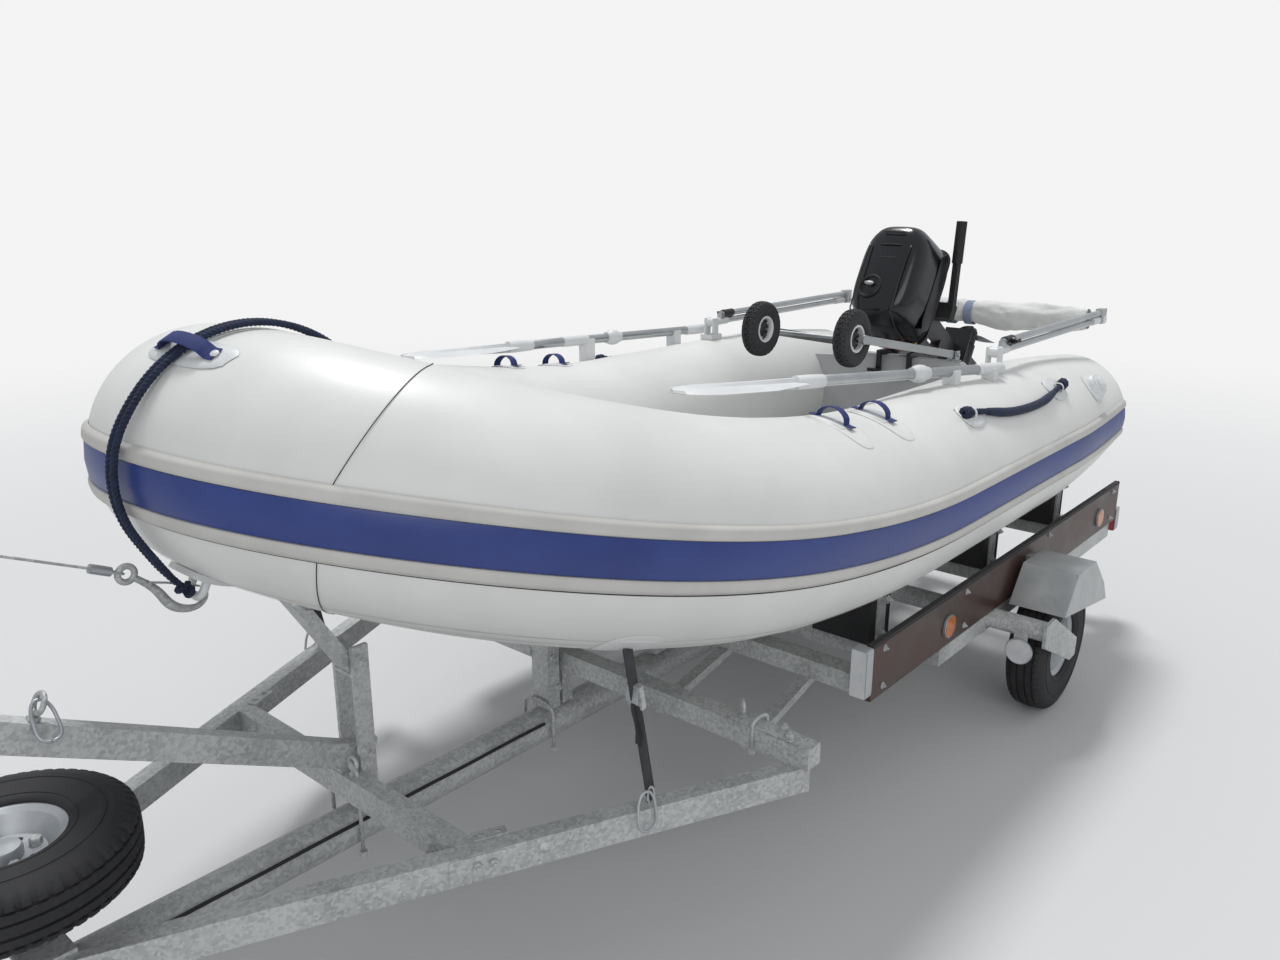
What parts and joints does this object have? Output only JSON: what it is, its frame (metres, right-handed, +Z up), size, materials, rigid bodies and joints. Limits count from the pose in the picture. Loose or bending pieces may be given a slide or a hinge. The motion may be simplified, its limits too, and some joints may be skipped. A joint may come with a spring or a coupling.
{
  "type": "inflatable boat on trailer",
  "caption": "Rigid-hulled inflatable boat with a tilted outboard motor and folded sun canopy, parked on a galvanised road trailer",
  "frame": {"origin": "on the ground under the middle of the whole outline, on the boat's centreline", "axes": "+X towards the bow and the tow coupling, +Y to port, +Z up"},
  "size_m": [4.4559, 1.81, 1.4679],
  "materials": {
    "tube_fabric": "satin coated cloth",
    "strake_rubber": "matte moulded rubber",
    "stripe_blue": "satin",
    "hull_gelcoat": "gloss",
    "deck_grey": "non-slip texture",
    "transom_board": "satin",
    "fitting_white": "satin",
    "webbing_blue": "woven",
    "rope_navy": "braided",
    "rope_grey": "braided",
    "oar_alloy": "anodised",
    "bimini_alloy": "anodised",
    "canvas_white": "woven canvas",
    "leg_alloy": "anodised",
    "small_tyre": "matte",
    "motor_black": "satin paint",
    "cowl_black": "gloss moulding",
    "engine_iron": "as cast",
    "prop_black": "satin paint",
    "grip_black": "ribbed",
    "galvanised": "hot-dip galvanised",
    "board_brown": "film-faced plywood",
    "pad_rubber": "matte",
    "pad_foil": "wrapped foil",
    "fender_alloy": "mill sheet",
    "road_tyre": "matte",
    "rim_silver": "silver paint",
    "lens_white": "clear moulding",
    "lens_amber": "clear moulding",
    "lens_red": "clear moulding",
    "cable_black": "matte",
    "strap_grey": "woven"
  },
  "bodies": {
    "boat_on_trailer": {"tube_port": "tube_fabric", "tube_starboard": "tube_fabric", "tube_bow": "tube_fabric", "rub_strake": "strake_rubber", "strake_stripe": "stripe_blue", "hull_bottom": "hull_gelcoat", "floor_board": "deck_grey", "transom": "transom_board", "tube_fittings": "fitting_white", "webbing": "webbing_blue", "grab_lines": "rope_navy", "oars": "oar_alloy", "painter": "rope_navy", "launch_legs": "leg_alloy", "motor_clamp": "motor_black", "frame_rails": "galvanised", "cross_members": "galvanised", "spine_tube": "galvanised", "drawbar_rails": "galvanised", "side_boards": "board_brown", "support_rubbers": "pad_rubber", "support_brackets": "galvanised", "keel_roller": "pad_rubber", "bow_support": "pad_foil", "winch_beam": "galvanised", "winch": "galvanised", "winch_cable": "galvanised", "winch_hook": "galvanised", "coupling": "galvanised", "jockey_stem": "galvanised", "axle_beam": "galvanised", "fenders": "fender_alloy", "tyre_spare": "road_tyre", "rim_spare": "rim_silver", "lamp_white": "lens_white", "lamp_amber": "lens_amber", "lamp_red": "lens_red", "lamp_cable": "cable_black", "tie_straps": "strap_grey"},
    "bimini": {"bimini_frame": "bimini_alloy", "bimini_canvas": "canvas_white"},
    "launch_wheel_port_body": {"launch_wheel_port": "small_tyre"},
    "launch_wheel_starboard_body": {"launch_wheel_starboard": "small_tyre"},
    "motor_tilt": {"motor_swivel": "motor_black"},
    "motor": {"motor_leg": "motor_black", "motor_cowl": "cowl_black", "engine_block": "engine_iron", "motor_tiller": "grip_black"},
    "propeller_body": {"propeller": "prop_black"},
    "wheel_port": {"tyre_port": "road_tyre", "rim_port": "rim_silver"},
    "wheel_starboard": {"tyre_starboard": "road_tyre", "rim_starboard": "rim_silver"},
    "jockey_swivel": {"jockey_fork": "galvanised"},
    "jockey_wheel_body": {"jockey_wheel": "pad_rubber"}
  },
  "joints": [
    {"name": "bimini_swing", "type": "hinge", "parent": "boat_on_trailer", "child": "bimini", "pos_m": [-1.03, 0, 1.098], "axis": [0, 1, 0], "range_deg": [0, 100]},
    {"name": "launch_wheel_port_spin", "type": "hinge", "parent": "boat_on_trailer", "child": "launch_wheel_port_body", "pos_m": [-0.81, 0.172, 1.13], "axis": [0, 1, 0], "continuous": true},
    {"name": "launch_wheel_starboard_spin", "type": "hinge", "parent": "boat_on_trailer", "child": "launch_wheel_starboard_body", "pos_m": [-0.81, -0.172, 1.13], "axis": [0, 1, 0], "continuous": true},
    {"name": "motor_tilting", "type": "hinge", "parent": "boat_on_trailer", "child": "motor_tilt", "pos_m": [-1.56, 0, 0.985], "axis": [0, 1, 0], "range_deg": [-60, 0]},
    {"name": "motor_steering", "type": "hinge", "parent": "motor_tilt", "child": "motor", "pos_m": [-1.591, 0, 1.0387], "axis": [0.866, 0, 0.5], "range_deg": [-40, 40]},
    {"name": "propeller_spin", "type": "hinge", "parent": "motor", "child": "propeller_body", "pos_m": [-2.133, 0, 0.9775], "axis": [0.5, 0, -0.866], "continuous": true},
    {"name": "wheel_port_spin", "type": "hinge", "parent": "boat_on_trailer", "child": "wheel_port", "pos_m": [-1.02, 0.805, 0.212], "axis": [0, 1, 0], "continuous": true},
    {"name": "wheel_starboard_spin", "type": "hinge", "parent": "boat_on_trailer", "child": "wheel_starboard", "pos_m": [-1.02, -0.805, 0.212], "axis": [0, 1, 0], "continuous": true},
    {"name": "jockey_turn", "type": "hinge", "parent": "boat_on_trailer", "child": "jockey_swivel", "pos_m": [1.985, -0.088, 0.26], "axis": [0, 0, 1], "continuous": true},
    {"name": "jockey_wheel_spin", "type": "hinge", "parent": "jockey_swivel", "child": "jockey_wheel_body", "pos_m": [1.947, -0.088, 0.1], "axis": [0, 1, 0], "continuous": true}
  ]
}
